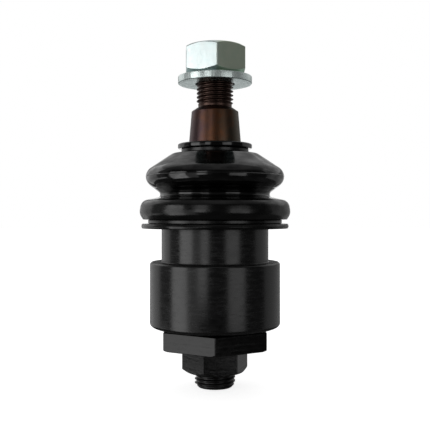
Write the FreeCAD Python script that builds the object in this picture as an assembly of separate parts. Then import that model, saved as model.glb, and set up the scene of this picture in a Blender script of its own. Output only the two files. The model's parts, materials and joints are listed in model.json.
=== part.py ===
import FreeCAD, Part
import math
import os

# A suspension ball joint that can be taken apart and reset: a steel housing with a stepped barrel,
# a ball stud between two seats, a preload stack under them, a screwed end cap with an adjusting
# screw and jam nut, and a rubber boot held by two rings. Millimetres, +Z up along the stud.
# The origin is on the axis, in the plane of the barrel's top shoulder, where the arm stops.

# Ball stud
BALL_D = 30.0
BALL_Z = 7.0
BALL_FLAT = 1.0
STUD_NECK_D = 14.5
STUD_NECK_FILLET = 2.5
STUD_NECK_END_Z = 26.0
STUD_FLARE_H = 10.0
STUD_FLARE_ROUND = 6.0
BOOT_SEAT_H = 9.0
TAPER_SMALL_D = 17.8
TAPER_LENGTH = 12.0
TAPER_RATIO = 6.0
TAPER_SHOULDER_H = 1.7
UNDERCUT_D = 12.8
UNDERCUT_H = 1.4
STUD_THREAD_D = 14.0
STUD_THREAD_LENGTH = 20.7
STUD_END_CHAMFER = 1.2

# Housing
HOUSING_NECK_D = 40.7
HOUSING_NECK_H = 18.0
HOUSING_NECK_CHAMFER = 0.6
BARREL_D = 49.5
BARREL_H = 24.4
BARREL_TOP_ROUND = 1.0
BARREL_BOTTOM_ROUND = 1.5
SEAT_BORE_D = 34.8
SEAT_STOP_Z = 14.2
MOUTH_D = 28.0
MOUTH_TOP_D = 30.6
CAP_SHOULDER_Z = -14.0
CAP_BORE_LEAD_IN = 0.7
BEAD_GROOVE_Z = 14.4
BEAD_GROOVE_H = 1.9
BEAD_GROOVE_DEPTH = 1.3

# Seats and preload stack
UPPER_SEAT_OVER_EQUATOR = 0.5
LOWER_SEAT_UNDER_EQUATOR = 0.5
LOWER_SEAT_FLOOR = 4.0
LOWER_SEAT_HOLE_D = 9.0
UPPER_SEAT_LIP = 1.0
SEAT_EDGE_ROUND = 0.4
SPRING_D = 30.0
SPRING_HOLE_D = 15.2
SPRING_T = 1.5
SPRING_CONE_H = 0.6
PLATE_T = 4.2
PLATE_DIMPLE_D = 12.0
PLATE_DIMPLE_DEPTH = 0.6
PRELOAD_TRAVEL = 1.5

# End cap, adjusting screw and jam nut
CAP_THREAD_D = 36.0
CAP_RELIEF_D = 34.0
CAP_GAP = 1.0
CAP_HEX_AF = 38.0
CAP_HEX_H = 7.0
CAP_HEX_LOWER_EDGE_D = 42.4
CAP_HEX_UPPER_EDGE_D = 43.4
CAP_HOLE_CHAMFER = 0.8
CAP_PLUG_CHAMFER = 0.3
CAP_POCKET_FLOOR_GAP = 0.5
SCREW_D = 15.4
SCREW_END_Z = -47.5
SCREW_TIP_D = 11.0
SCREW_TIP_H = 1.6
SCREW_CHAMFER = 1.3
SOCKET_AF = 8.0
SOCKET_DEPTH = 7.0
JAM_NUT_AF = 22.0
JAM_NUT_H = 9.4
JAM_NUT_FACE_TURN = 10.5

# Stud nut and washer; a nut's bevels and countersinks go with its size
WASHER_Z = 67.6
WASHER_D = 28.2
WASHER_HOLE_D = 15.0
WASHER_T = 2.7
WASHER_EDGE = 0.35
NUT_AF = 22.0
NUT_H = 11.6
NUT_FACE_H = 0.6
NUT_CORNER_TURN = 3.3
NUT_FACE_RATIO = 0.9
NUT_BEVEL_RATIO = 0.955
NUT_SINK_RATIO = 0.06

# Dust boot: wall, collars and the corners of its folds
BOOT_WALL = 1.8
BOOT_FOOT_Z = 12.6
BOOT_FOOT_D = 55.4
BOOT_LIP_D = 56.0
BOOT_LIP_H = 1.8
LOWER_GROOVE_D = 49.2
LOWER_GROOVE_H = 1.6
LOWER_SHELF_D = 54.7
LOWER_FOLD_D = 57.5
LOWER_FOLD_H = 5.6
LOWER_FOLD_TOP_D = 56.0
LOWER_FOLD_TOP_H = 10.4
WAIST_CORNER_D = 38.9
WAIST_H = 12.3
UPPER_FOLD_CORNER_D = 58.5
UPPER_FOLD_H = 19.8
SHOULDER_CORNER_D = 33.0
SHOULDER_H = 28.3
COLLAR_TOP_H = 32.1
COLLAR_D = 28.3
COLLAR_LIP_H = 1.9
UPPER_GROOVE_D = 24.0
UPPER_GROOVE_H = 1.6
UPPER_COLLAR_H = 6.0
RING_T = 0.75
RING_EDGE = 0.25

# Clearances
BALL_GAP = 0.05
SEAT_GAP = 0.05
THREAD_GAP = 0.05
BOOT_GAP = 0.05
RING_GAP = 0.10
SPRING_GAP = 0.10
PLATE_GAP = 0.30
SEAL_GAP = 0.03

# Worked out from the sizes above
BALL_R = BALL_D / 2
TAPER_LARGE_D = TAPER_SMALL_D + TAPER_LENGTH / TAPER_RATIO
BOOT_SEAT_Z = STUD_NECK_END_Z + STUD_FLARE_H
TAPER_START_Z = BOOT_SEAT_Z + BOOT_SEAT_H
TAPER_END_Z = TAPER_START_Z + TAPER_LENGTH
THREAD_START_Z = TAPER_END_Z + TAPER_SHOULDER_H + UNDERCUT_H
STUD_END_Z = THREAD_START_Z + STUD_THREAD_LENGTH
LOWER_SEAT_END_Z = BALL_Z - BALL_R - LOWER_SEAT_FLOOR
SPRING_H = SPRING_T + SPRING_CONE_H
PLATE_TOP_Z = LOWER_SEAT_END_Z - 2 * SPRING_H
PLATE_END_Z = PLATE_TOP_Z - PLATE_T
CAP_POCKET_END_Z = PLATE_END_Z - PRELOAD_TRAVEL - CAP_POCKET_FLOOR_GAP
CAP_HEX_TOP_Z = -BARREL_H - CAP_GAP
CAP_END_Z = CAP_HEX_TOP_Z - CAP_HEX_H
CAP_POCKET_D = SPRING_D + 2 * SPRING_GAP
JAM_NUT_END_Z = CAP_END_Z - JAM_NUT_H
NUT_BEVEL_SLOPE = math.tan(math.radians(30))
CAP_BEVEL_SLOPE = math.tan(math.radians(45))
FACING_VIEWER = -90.0


def point(radius, height):
    return FreeCAD.Vector(radius, 0, height)


def rounded_path(corners):
    """Edges through (radius, height, rounding) corners, with a tangent arc at each rounded one."""
    spots = [point(radius, height) for radius, height, rounding in corners]
    edges = []
    here = spots[0]
    for before, corner, after, (_, _, rounding) in zip(spots, spots[1:], spots[2:], corners[1:]):
        if rounding:
            back = (before - corner).normalize()
            ahead = (after - corner).normalize()
            half = back.getAngle(ahead) / 2
            inward = (back + ahead).normalize()
            reach = rounding / math.tan(half)
            crown = corner + inward * (rounding / math.sin(half) - rounding)
            edges.append(Part.makeLine(here, corner + back * reach))
            here = corner + ahead * reach
            edges.append(Part.Arc(corner + back * reach, crown, here).toShape())
        else:
            edges.append(Part.makeLine(here, corner))
            here = corner
    edges.append(Part.makeLine(here, spots[-1]))
    return edges


def turned(edges):
    """Solid of revolution about the stud axis from the edges of a closed outline."""
    face = Part.Face(Part.Wire(edges))
    solid = face.revolve(FreeCAD.Vector(0, 0, 0), FreeCAD.Vector(0, 0, 1), 360)
    if solid.Volume < 0:
        solid.reverse()
    return solid


def turned_from(corners):
    """Solid of revolution from corners; the first one is not rounded and closes the outline."""
    return turned(rounded_path(corners + [corners[0]]))


def offset_corners(corners, distance):
    """The same path moved sideways by a wall, for corners that are given from the top down."""
    moved = []
    lines = []
    for (r0, z0, _), (r1, z1, _) in zip(corners, corners[1:]):
        length = math.hypot(r1 - r0, z1 - z0)
        side = ((z1 - z0) / length * distance, -(r1 - r0) / length * distance)
        lines.append(((r0 + side[0], z0 + side[1]), (r1 - r0, z1 - z0)))
    for (spot, way), (spot2, way2), (_, _, rounding) in zip(lines, lines[1:], corners[1:]):
        cross = way[0] * way2[1] - way[1] * way2[0]
        gap = (spot2[0] - spot[0], spot2[1] - spot[1])
        along = (gap[0] * way2[1] - gap[1] * way2[0]) / cross
        bend = -distance if cross < 0 else distance
        moved.append((spot[0] + way[0] * along, spot[1] + way[1] * along, max(rounding + bend, 0.3)))
    return moved


def hexagon(across_flats, low_z, high_z, corner_angle):
    """Hexagonal bar with one corner pointing at corner_angle, in degrees from +X."""
    radius = across_flats / math.sqrt(3)
    ring = []
    for side in range(7):
        angle = math.radians(corner_angle + 60 * side)
        ring.append(FreeCAD.Vector(radius * math.cos(angle), radius * math.sin(angle), low_z))
    face = Part.Face(Part.makePolygon(ring))
    return face.extrude(FreeCAD.Vector(0, 0, high_z - low_z))


def bevelled_hexagon(across_flats, low_z, high_z, corner_angle, low_edge_d, high_edge_d, slope):
    """Hexagonal bar whose corners are turned off, down to a circle at each end."""
    corner_r = across_flats / math.sqrt(3)
    low_r = low_edge_d / 2
    high_r = high_edge_d / 2
    blank = turned_from([
        (0, low_z, 0),
        (low_r, low_z, 0),
        (corner_r, low_z + (corner_r - low_r) * slope, 0),
        (corner_r, high_z - (corner_r - high_r) * slope, 0),
        (high_r, high_z, 0),
        (0, high_z, 0),
    ])
    return hexagon(across_flats, low_z, high_z, corner_angle).common(blank)


def nut(across_flats, low_z, height, thread_d, corner_angle, low_ratio, face_h):
    """Hexagon nut with countersinks; a round bearing face under it if face_h isn't zero."""
    hole_r = thread_d / 2 + THREAD_GAP
    sink = thread_d * NUT_SINK_RATIO
    low_edge_d = across_flats * low_ratio
    high_edge_d = across_flats * NUT_BEVEL_RATIO
    hex_low_z = low_z + face_h
    high_z = low_z + height
    hole = turned_from([
        (0, low_z, 0),
        (hole_r + sink, low_z, 0),
        (hole_r, low_z + sink, 0),
        (hole_r, high_z - sink, 0),
        (hole_r + sink, high_z, 0),
        (0, high_z, 0),
    ])
    body = bevelled_hexagon(
        across_flats, hex_low_z, high_z, corner_angle, low_edge_d, high_edge_d, NUT_BEVEL_SLOPE
    )
    if face_h:
        body = body.fuse(Part.makeCylinder(low_edge_d / 2, face_h, FreeCAD.Vector(0, 0, low_z)))
    return body.cut(hole)


def ball_stud():
    """One forging: ball, neck, flare, boot seat, taper, undercut and threaded end."""
    neck_r = STUD_NECK_D / 2
    centre_r = neck_r + STUD_NECK_FILLET
    centre_h = math.sqrt((BALL_R + STUD_NECK_FILLET) ** 2 - centre_r ** 2)
    shrink = BALL_R / (BALL_R + STUD_NECK_FILLET)
    flat_r = math.sqrt(BALL_R ** 2 - (BALL_R - BALL_FLAT) ** 2)
    bottom = point(0, BALL_Z - BALL_R + BALL_FLAT)
    flat_edge = point(flat_r, BALL_Z - BALL_R + BALL_FLAT)
    equator = point(BALL_R, BALL_Z)
    leaves_ball = point(centre_r * shrink, BALL_Z + centre_h * shrink)
    joins_neck = point(neck_r, BALL_Z + centre_h)
    centre = point(centre_r, BALL_Z + centre_h)
    inward = ((leaves_ball - centre).normalize() + (joins_neck - centre).normalize()).normalize()
    crown = centre + inward * STUD_NECK_FILLET
    thread_r = STUD_THREAD_D / 2
    undercut_r = UNDERCUT_D / 2
    shank = rounded_path([
        (neck_r, joins_neck.z, 0),
        (neck_r, STUD_NECK_END_Z, STUD_FLARE_ROUND),
        (TAPER_LARGE_D / 2, BOOT_SEAT_Z, STUD_FLARE_ROUND / 2),
        (TAPER_LARGE_D / 2, TAPER_START_Z, 0),
        (TAPER_SMALL_D / 2, TAPER_END_Z, 0.3),
        (undercut_r, TAPER_END_Z + TAPER_SHOULDER_H, 0.3),
        (undercut_r, THREAD_START_Z - (thread_r - undercut_r), 0.3),
        (thread_r, THREAD_START_Z, 0),
        (thread_r, STUD_END_Z - STUD_END_CHAMFER, 0),
        (thread_r - STUD_END_CHAMFER, STUD_END_Z, 0),
        (0, STUD_END_Z, 0),
        (0, bottom.z, 0),
    ])
    ball = [
        Part.makeLine(bottom, flat_edge),
        Part.Arc(flat_edge, equator, leaves_ball).toShape(),
        Part.Arc(leaves_ball, crown, joins_neck).toShape(),
    ]
    return turned(ball + shank)


def housing():
    """Barrel and neck in one piece, bored from below for the seats and the end cap."""
    neck_r = HOUSING_NECK_D / 2
    barrel_r = BARREL_D / 2
    bead_r = neck_r - BEAD_GROOVE_DEPTH
    cap_r = CAP_THREAD_D / 2 + THREAD_GAP
    return turned_from([
        (SEAT_BORE_D / 2, CAP_SHOULDER_Z, 0),
        (cap_r, CAP_SHOULDER_Z, 0),
        (cap_r, CAP_BORE_LEAD_IN - BARREL_H, 0),
        (cap_r + CAP_BORE_LEAD_IN, -BARREL_H, 0),
        (barrel_r, -BARREL_H, BARREL_BOTTOM_ROUND),
        (barrel_r, 0, BARREL_TOP_ROUND),
        (neck_r, 0, 0),
        (neck_r, BEAD_GROOVE_Z, 0.2),
        (bead_r, BEAD_GROOVE_Z, 0.4),
        (bead_r, BEAD_GROOVE_Z + BEAD_GROOVE_H, 0.4),
        (neck_r, BEAD_GROOVE_Z + BEAD_GROOVE_H, 0.2),
        (neck_r, HOUSING_NECK_H - HOUSING_NECK_CHAMFER, 0),
        (neck_r - HOUSING_NECK_CHAMFER, HOUSING_NECK_H, 0),
        (MOUTH_TOP_D / 2, HOUSING_NECK_H, 0.4),
        (MOUTH_D / 2, SEAT_STOP_Z, 0),
        (SEAT_BORE_D / 2, SEAT_STOP_Z, 0),
    ])


def seat_ring(low_z, high_z, hole_r):
    """Ring that fits the housing's bore, with the ball's own hollow cut into it."""
    outer_r = SEAT_BORE_D / 2 - SEAT_GAP
    ring = turned_from([
        (hole_r, low_z, 0),
        (outer_r, low_z, SEAT_EDGE_ROUND),
        (outer_r, high_z, SEAT_EDGE_ROUND),
        (hole_r, high_z, 0),
    ])
    hollow = Part.makeSphere(BALL_R + BALL_GAP, point(0, BALL_Z))
    return ring.cut(hollow)


def disc_spring(top_z, inner_up):
    """Coned disc spring; inner_up says whether its hole or its rim stands higher."""
    inner_r = SPRING_HOLE_D / 2
    outer_r = SPRING_D / 2
    inner_top = top_z if inner_up else top_z - SPRING_CONE_H
    outer_top = top_z - SPRING_CONE_H if inner_up else top_z
    return turned_from([
        (inner_r, inner_top, 0),
        (outer_r, outer_top, 0),
        (outer_r, outer_top - SPRING_T, 0),
        (inner_r, inner_top - SPRING_T, 0),
    ])


def pressure_plate():
    """Disc between the springs and the screw, dished where the screw's tip bears."""
    plate_r = CAP_POCKET_D / 2 - PLATE_GAP
    dimple_r = PLATE_DIMPLE_D / 2
    return turned_from([
        (0, PLATE_TOP_Z, 0),
        (plate_r, PLATE_TOP_Z, 0.5),
        (plate_r, PLATE_END_Z, 0.5),
        (dimple_r, PLATE_END_Z, 0),
        (dimple_r, PLATE_END_Z + PLATE_DIMPLE_DEPTH, 0),
        (0, PLATE_END_Z + PLATE_DIMPLE_DEPTH, 0),
    ])


def end_cap():
    """Threaded plug with a hexagon head, hollow for the preload stack and tapped for the screw."""
    thread_r = CAP_THREAD_D / 2
    relief_r = CAP_RELIEF_D / 2
    pocket_r = CAP_POCKET_D / 2
    hole_r = SCREW_D / 2 + THREAD_GAP
    plug = turned_from([
        (hole_r, CAP_POCKET_END_Z, 0),
        (pocket_r, CAP_POCKET_END_Z, 0.5),
        (pocket_r, CAP_SHOULDER_Z, 0),
        (thread_r - CAP_PLUG_CHAMFER, CAP_SHOULDER_Z, 0),
        (thread_r, CAP_SHOULDER_Z - CAP_PLUG_CHAMFER, 0),
        (thread_r, -BARREL_H + CAP_BORE_LEAD_IN, 0),
        (relief_r, -BARREL_H, 0.3),
        (relief_r, CAP_HEX_TOP_Z - CAP_HEX_H / 2, 0),
        (hole_r, CAP_HEX_TOP_Z - CAP_HEX_H / 2, 0),
    ])
    head = bevelled_hexagon(
        CAP_HEX_AF, CAP_END_Z, CAP_HEX_TOP_Z, FACING_VIEWER,
        CAP_HEX_LOWER_EDGE_D, CAP_HEX_UPPER_EDGE_D, CAP_BEVEL_SLOPE
    )
    hole = turned_from([
        (0, CAP_END_Z, 0),
        (hole_r + CAP_HOLE_CHAMFER, CAP_END_Z, 0),
        (hole_r, CAP_END_Z + CAP_HOLE_CHAMFER, 0),
        (hole_r, CAP_HEX_TOP_Z, 0),
        (0, CAP_HEX_TOP_Z, 0),
    ])
    return plug.fuse(head.cut(hole)).removeSplitter()


def cap_seal_ring():
    """Round rubber ring in the relief between the barrel and the cap's hexagon."""
    section_r = CAP_GAP / 2 - SEAL_GAP
    middle = CAP_RELIEF_D / 2 + SEAL_GAP + section_r
    return Part.makeTorus(middle, section_r, point(0, -BARREL_H - CAP_GAP / 2))


def adjuster_screw():
    """Grub screw with a turned tip above and a hexagon socket in its lower end."""
    screw_r = SCREW_D / 2
    tip_r = SCREW_TIP_D / 2
    tip_z = PLATE_END_Z + PLATE_DIMPLE_DEPTH
    shoulder_z = tip_z - PLATE_DIMPLE_DEPTH - PRELOAD_TRAVEL - SCREW_TIP_H
    body = turned_from([
        (0, SCREW_END_Z, 0),
        (screw_r - SCREW_CHAMFER, SCREW_END_Z, 0),
        (screw_r, SCREW_END_Z + SCREW_CHAMFER, 0),
        (screw_r, shoulder_z, 0),
        (tip_r, shoulder_z + screw_r - tip_r, 0.4),
        (tip_r, tip_z, 0.5),
        (0, tip_z, 0),
    ])
    socket = hexagon(SOCKET_AF, SCREW_END_Z, SCREW_END_Z + SOCKET_DEPTH, FACING_VIEWER)
    drill_r = SOCKET_AF / 2
    drill = turned_from([
        (0, SCREW_END_Z, 0),
        (drill_r, SCREW_END_Z, 0),
        (drill_r, SCREW_END_Z + SOCKET_DEPTH, 0),
        (0, SCREW_END_Z + SOCKET_DEPTH + drill_r / 2, 0),
    ])
    return body.cut(socket.fuse(drill))


def washer():
    """Flat washer with lightly bevelled rims."""
    rim_r = WASHER_D / 2
    hole_r = WASHER_HOLE_D / 2
    top_z = WASHER_Z + WASHER_T
    return turned_from([
        (hole_r, WASHER_Z, 0),
        (rim_r, WASHER_Z, WASHER_EDGE),
        (rim_r, top_z, WASHER_EDGE),
        (hole_r, top_z, WASHER_EDGE),
        (hole_r, WASHER_Z + WASHER_T / 2, 0),
    ])


def boot_folds():
    """Outer corners of the boot's two folds, from the top collar down to the lower groove."""
    foot = BOOT_FOOT_Z
    return [
        (COLLAR_D / 2, foot + COLLAR_TOP_H - COLLAR_LIP_H - UPPER_GROOVE_H, 0.7),
        (SHOULDER_CORNER_D / 2, foot + SHOULDER_H, 2.0),
        (UPPER_FOLD_CORNER_D / 2, foot + UPPER_FOLD_H, 4.1),
        (WAIST_CORNER_D / 2, foot + WAIST_H, 1.1),
        (LOWER_FOLD_TOP_D / 2, foot + LOWER_FOLD_TOP_H, 3.0),
        (LOWER_FOLD_D / 2, foot + LOWER_FOLD_H, 3.6),
        (LOWER_SHELF_D / 2, foot + BOOT_LIP_H + LOWER_GROOVE_H, 0.3),
    ]


def dust_boot():
    """Two-fold rubber boot with a grooved collar at each end and a bead in the housing's groove."""
    foot = BOOT_FOOT_Z
    top = foot + COLLAR_TOP_H
    neck_r = HOUSING_NECK_D / 2 + BOOT_GAP
    bead_r = neck_r - BEAD_GROOVE_DEPTH
    bead_low = BEAD_GROOVE_Z + BOOT_GAP
    bead_high = BEAD_GROOVE_Z + BEAD_GROOVE_H - BOOT_GAP
    stud_r = TAPER_LARGE_D / 2 + BOOT_GAP
    upper_groove_top = top - COLLAR_LIP_H
    lower_groove_low = foot + BOOT_LIP_H
    folds = boot_folds()
    inner = offset_corners([(UPPER_GROOVE_D / 2, folds[0][1], 0)] + folds, BOOT_WALL)[1:-1]
    inner_top = (stud_r, top - UPPER_COLLAR_H, 0.5)
    inner_foot = (neck_r, HOUSING_NECK_H + BOOT_GAP, 0)
    outline = [
        (stud_r, top, 0),
        (COLLAR_D / 2, top, 0.6),
        (COLLAR_D / 2, upper_groove_top, 0.5),
        (UPPER_GROOVE_D / 2, upper_groove_top, 0.2),
        (UPPER_GROOVE_D / 2, upper_groove_top - UPPER_GROOVE_H, 0.2),
    ]
    outline += folds
    outline += [
        (LOWER_GROOVE_D / 2, lower_groove_low + LOWER_GROOVE_H, 0.2),
        (LOWER_GROOVE_D / 2, lower_groove_low, 0.2),
        (BOOT_FOOT_D / 2, lower_groove_low, 0.3),
        (BOOT_LIP_D / 2, foot + BOOT_LIP_H / 2, 0.4),
        (BOOT_FOOT_D / 2, foot, 0.4),
        (neck_r, foot, 0.3),
        (neck_r, bead_low, 0),
        (bead_r, bead_low, 0.3),
        (bead_r, bead_high, 0.3),
        (neck_r, bead_high, 0),
        inner_foot,
    ]
    outline += list(reversed(inner))
    outline += [inner_top]
    return turned_from(outline)


def groove_ring(groove_d, low_z, height):
    """Flat spring-steel ring that lies in one of the boot's grooves."""
    inner_r = groove_d / 2 + BOOT_GAP
    outer_r = inner_r + RING_T
    return turned_from([
        (inner_r, low_z + RING_GAP, 0),
        (outer_r, low_z + RING_GAP, RING_EDGE),
        (outer_r, low_z + height - RING_GAP, RING_EDGE),
        (inner_r, low_z + height - RING_GAP, 0),
    ])


os.makedirs("parts", exist_ok=True)
ball_reach = BALL_R + BALL_GAP
upper_hole_r = math.sqrt(ball_reach ** 2 - (SEAT_STOP_Z - BALL_Z) ** 2) - UPPER_SEAT_LIP
boot_top = BOOT_FOOT_Z + COLLAR_TOP_H
pieces = {
    "housing": housing(),
    "upper_seat": seat_ring(BALL_Z + UPPER_SEAT_OVER_EQUATOR, SEAT_STOP_Z, upper_hole_r),
    "lower_seat": seat_ring(
        LOWER_SEAT_END_Z, BALL_Z - LOWER_SEAT_UNDER_EQUATOR, LOWER_SEAT_HOLE_D / 2
    ),
    "disc_spring_upper": disc_spring(LOWER_SEAT_END_Z, True),
    "disc_spring_lower": disc_spring(LOWER_SEAT_END_Z - SPRING_H, False),
    "pressure_plate": pressure_plate(),
    "end_cap": end_cap(),
    "cap_seal_ring": cap_seal_ring(),
    "adjuster_screw": adjuster_screw(),
    "jam_nut": nut(
        JAM_NUT_AF,
        JAM_NUT_END_Z,
        JAM_NUT_H,
        SCREW_D,
        FACING_VIEWER + JAM_NUT_FACE_TURN + 30,
        NUT_BEVEL_RATIO,
        0,
    ),
    "ball_stud": ball_stud(),
    "dust_boot": dust_boot(),
    "boot_bottom_ring": groove_ring(LOWER_GROOVE_D, BOOT_FOOT_Z + BOOT_LIP_H, LOWER_GROOVE_H),
    "boot_top_ring": groove_ring(
        UPPER_GROOVE_D, boot_top - COLLAR_LIP_H - UPPER_GROOVE_H, UPPER_GROOVE_H
    ),
    "stud_washer": washer(),
    "stud_nut": nut(
        NUT_AF,
        WASHER_Z + WASHER_T,
        NUT_H,
        STUD_THREAD_D,
        FACING_VIEWER + NUT_CORNER_TURN,
        NUT_FACE_RATIO,
        NUT_FACE_H,
    ),
}
for name, shape in pieces.items():
    print(name, shape.isValid(), len(shape.Solids), round(shape.Volume, 1))
    shape.exportStep("parts/" + name + ".step")
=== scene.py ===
# %% [markdown]
# # A suspension ball joint, from the outside in
# The real part is turned steel, one rubber boot and a few nuts on a common axis. The solids carry
# every size and every joint; this notebook dresses them. Each step first says what the piece is on
# the real object, then how it is made here and why.

# %% Load the frame
import json
import math

import bmesh
import bpy
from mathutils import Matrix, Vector


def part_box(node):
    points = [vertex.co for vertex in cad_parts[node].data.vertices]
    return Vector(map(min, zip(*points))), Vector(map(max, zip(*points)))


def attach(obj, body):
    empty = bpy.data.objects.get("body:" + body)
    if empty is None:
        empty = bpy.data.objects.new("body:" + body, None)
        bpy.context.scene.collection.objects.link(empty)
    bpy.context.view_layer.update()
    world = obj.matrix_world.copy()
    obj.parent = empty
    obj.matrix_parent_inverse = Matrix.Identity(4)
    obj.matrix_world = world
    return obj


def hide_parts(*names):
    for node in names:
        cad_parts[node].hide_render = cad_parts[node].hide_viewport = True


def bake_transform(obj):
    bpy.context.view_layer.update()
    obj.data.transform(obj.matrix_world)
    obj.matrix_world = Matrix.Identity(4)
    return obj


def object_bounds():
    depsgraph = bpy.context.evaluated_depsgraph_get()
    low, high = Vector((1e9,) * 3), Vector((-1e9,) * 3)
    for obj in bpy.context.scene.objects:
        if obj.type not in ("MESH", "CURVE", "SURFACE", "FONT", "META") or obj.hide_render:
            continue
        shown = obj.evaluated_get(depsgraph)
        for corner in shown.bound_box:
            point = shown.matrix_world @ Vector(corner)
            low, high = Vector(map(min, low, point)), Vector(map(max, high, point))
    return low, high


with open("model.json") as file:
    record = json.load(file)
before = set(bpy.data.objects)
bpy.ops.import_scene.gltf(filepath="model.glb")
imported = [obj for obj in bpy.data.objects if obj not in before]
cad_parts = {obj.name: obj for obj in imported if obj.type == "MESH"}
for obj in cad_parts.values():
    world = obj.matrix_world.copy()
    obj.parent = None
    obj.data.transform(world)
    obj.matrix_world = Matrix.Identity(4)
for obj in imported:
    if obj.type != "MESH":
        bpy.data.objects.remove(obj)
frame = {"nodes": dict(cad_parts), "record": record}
cad_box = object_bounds()
print("solids span", [[round(v, 4) for v in corner] for corner in cad_box])

# %% [markdown]
# ## Camera
# The photograph looks level at the middle of the part from about a quarter of a metre, so the nut
# is seen from just below and the hexagons from just above. A picture 430 pixels wide in which 2.62
# pixels cover one millimetre at 267 mm gives the lens angle; nothing needs to be shifted.

# %% Set up the camera
MM = 0.001
PICTURE_WIDTH = 430
PIXELS_PER_MM = 2.62
CAMERA_DISTANCE_MM = 267.0
EYE_HEIGHT_MM = 17.7
NEAREST_SEEN_MM = 10.0

scene = bpy.context.scene
camera = bpy.data.objects.new("camera", bpy.data.cameras.new("camera"))
scene.collection.objects.link(camera)
camera.location = (0, -CAMERA_DISTANCE_MM * MM, EYE_HEIGHT_MM * MM)
camera.rotation_euler = (math.radians(90), 0, 0)
camera.data.sensor_fit = "HORIZONTAL"
camera.data.angle = 2 * math.atan(PICTURE_WIDTH / 2 / (PIXELS_PER_MM * CAMERA_DISTANCE_MM))
camera.data.clip_start = NEAREST_SEEN_MM * MM
scene.camera = camera
print("lens angle", round(math.degrees(camera.data.angle), 2), "degrees")

# %% [markdown]
# ## Light
# Black parts show their surroundings more than their own colour. The studio has tall soft boxes on
# both sides, two of them joined by a dim one, strips behind the part, and dark gaps between them, and
# each becomes an upright stripe on the barrel. A box is placed by the direction in which the part
# sees it: degrees round from the camera, to the right if positive, and degrees above the horizon.
# Its last number is how bright it looks, where 1 is white. Seen squarely, black steel reflects a few
# hundredths of that, so a bright box draws no more than a grey stripe on it.

# %% Hang the soft boxes
BOX_DISTANCE = 0.7  # metres
WATTS_PER_RADIANCE = math.pi


def softbox(name, azimuth, width, low, high, radiance):
    """An upright area lamp that fills this window of directions, seen from the part."""
    middle = math.radians((low + high) / 2)
    around = math.radians(azimuth)
    way = Vector((math.sin(around) * math.cos(middle), -math.cos(around) * math.cos(middle),
                  math.sin(middle)))
    lamp = bpy.data.lights.new(name, "AREA")
    lamp.shape = "RECTANGLE"
    lamp.size = 2 * BOX_DISTANCE * math.tan(math.radians(width / 2))
    lamp.size_y = 2 * BOX_DISTANCE * math.tan(math.radians((high - low) / 2))
    lamp.energy = radiance * WATTS_PER_RADIANCE * lamp.size * lamp.size_y
    holder = bpy.data.objects.new(name, lamp)
    holder.location = Vector((0, 0, EYE_HEIGHT_MM * MM)) + way * BOX_DISTANCE
    holder.rotation_euler = way.to_track_quat("Z", "Y").to_euler()
    holder.visible_camera = False
    scene.collection.objects.link(holder)
    return holder


# name, degrees round, degrees wide, lower edge, upper edge, brightness
boxes = [
    softbox("box_key_left", -63, 30, -36, 22, 1.95),
    softbox("box_fill_left", -21, 16, -10, 24, 1.35),
    softbox("box_between_left", -38, 19, -36, 10, 0.4),
    softbox("box_right", 37, 29, -18, 17, 0.92),
    softbox("box_rim_left", -132, 46, -22, 38, 0.56),
    softbox("box_rim_right", 126, 66, -22, 38, 0.24),
    softbox("box_back_top", 180, 120, 18, 72, 0.28),
    softbox("box_edge_left", -98, 22, -16, 38, 0.1),
    softbox("box_low_left", -100, 20, -23, -16, 0.9),
]
print("soft boxes", len(boxes))

# %% [markdown]
# ## Small helpers for nodes
# A shader is built from many small nodes, and written out they take ten lines each. Five helpers keep
# a step to one line, so that a material can be read from top to bottom.


# %% Helpers for nodes
def node(tree, kind, values=None, **settings):
    """Adds a node; values go to its inputs, and a socket among them is linked."""
    made = tree.nodes.new(kind)
    for name, value in settings.items():
        setattr(made, name, value)
    for key, value in (values or {}).items():
        if isinstance(value, bpy.types.NodeSocket):
            tree.links.new(value, made.inputs[key])
        else:
            made.inputs[key].default_value = value
    return made


def maths(tree, operation, first, second=0.0, clamp=False):
    """One step of arithmetic, as a node; returns its output."""
    values = {0: first, 1: second}
    return node(tree, "ShaderNodeMath", values, operation=operation, use_clamp=clamp).outputs[0]


def levels(tree, value, start, full, low=0.0, high=1.0):
    """Low where the value is below start, high where it is past full, a straight change between."""
    return node(tree, "ShaderNodeMapRange", {
        "Value": value, "From Min": start, "From Max": full, "To Min": low, "To Max": high}).outputs[0]


def position(tree):
    """The place of a point on its own piece; returns the output."""
    return node(tree, "ShaderNodeTexCoord").outputs["Object"]


def parts_of(tree, vector):
    """The x, y and z of a vector, as outputs."""
    return node(tree, "ShaderNodeSeparateXYZ", {0: vector}).outputs


print("node helpers ready")

# %% [markdown]
# ## Background
# The picture's background is plain white. The world shows white to the camera, and to glass and
# metal where they look past the part at the backdrop behind it. Everything else gets a dim grey,
# which keeps the gaps between the boxes dark, with a soft ceiling above and a little light that comes
# back from the floor.

# %% Paint the world
AMBIENT = 0.25
GAP = 0.045
BACKDROP_STARTS, BACKDROP_FULL = 0.93, 0.98
BOUNCE = 0.015
BOUNCE_STARTS, BOUNCE_FULL = -0.25, -0.5
CEILING = 0.18
CEILING_STARTS, CEILING_FULL = 0.5, 0.7

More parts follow.
